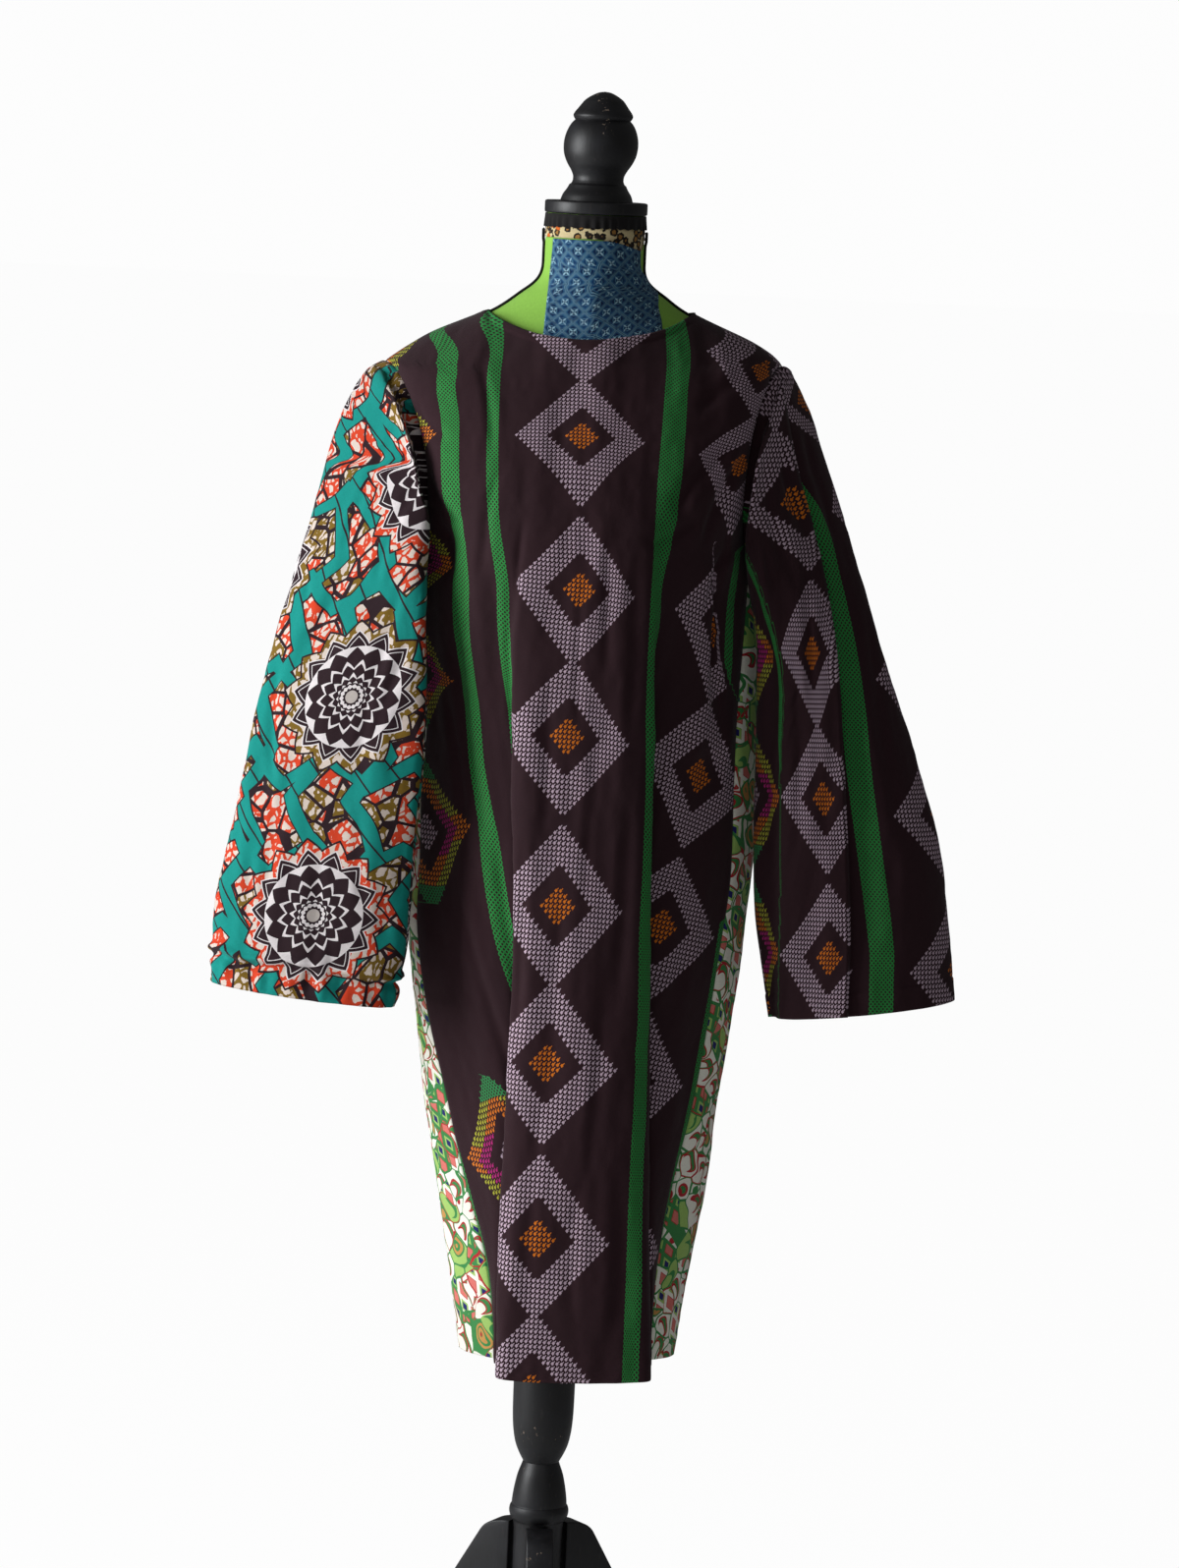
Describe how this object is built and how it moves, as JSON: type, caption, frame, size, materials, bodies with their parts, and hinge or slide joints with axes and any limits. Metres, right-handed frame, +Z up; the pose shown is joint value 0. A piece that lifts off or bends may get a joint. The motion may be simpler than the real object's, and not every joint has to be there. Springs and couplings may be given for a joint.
{
  "type": "print dress on dress form",
  "caption": "Loose long-sleeved patchwork cotton dress below the knee, hung on a limbless dress form with a turned finial, pole and tripod feet.",
  "frame": {"origin": "middle of the whole object's footprint, on the ground under the feet", "axes": "+Z up the pole, -Y the way that the dress faces, +X towards the viewer's right from the front"},
  "size_m": [0.7216, 0.401, 1.649],
  "materials": {
    "plum": "matt printed cotton, dark plum with a charted diamond pattern",
    "wax": "matt printed cotton, teal, orange and ochre",
    "leaf": "matt printed cotton, light green, cream, red and navy",
    "lime": "matt cotton over a stiff body",
    "blue": "matt printed cotton, blue and white lattice",
    "sand": "narrow printed band, spotted",
    "ruffle": "black gathered trim and piping",
    "lacquer": "black satin paint with worn edges"
  },
  "bodies": {
    "root": {"dress_front": "plum", "dress_back": "plum", "side_panel_left": "leaf", "side_panel_right": "leaf", "sleeve_left": "wax", "sleeve_right": "plum", "form_body": "lime", "neck_print_panel": "blue", "neck_piping_left": "ruffle", "neck_piping_right": "ruffle", "neck_print_band": "sand", "neck_black_band": "ruffle", "neck_cap": "lacquer", "finial": "lacquer", "pole": "lacquer", "hub": "lacquer", "leg_front": "lacquer", "leg_right": "lacquer", "leg_left": "lacquer"}
  },
  "joints": []
}
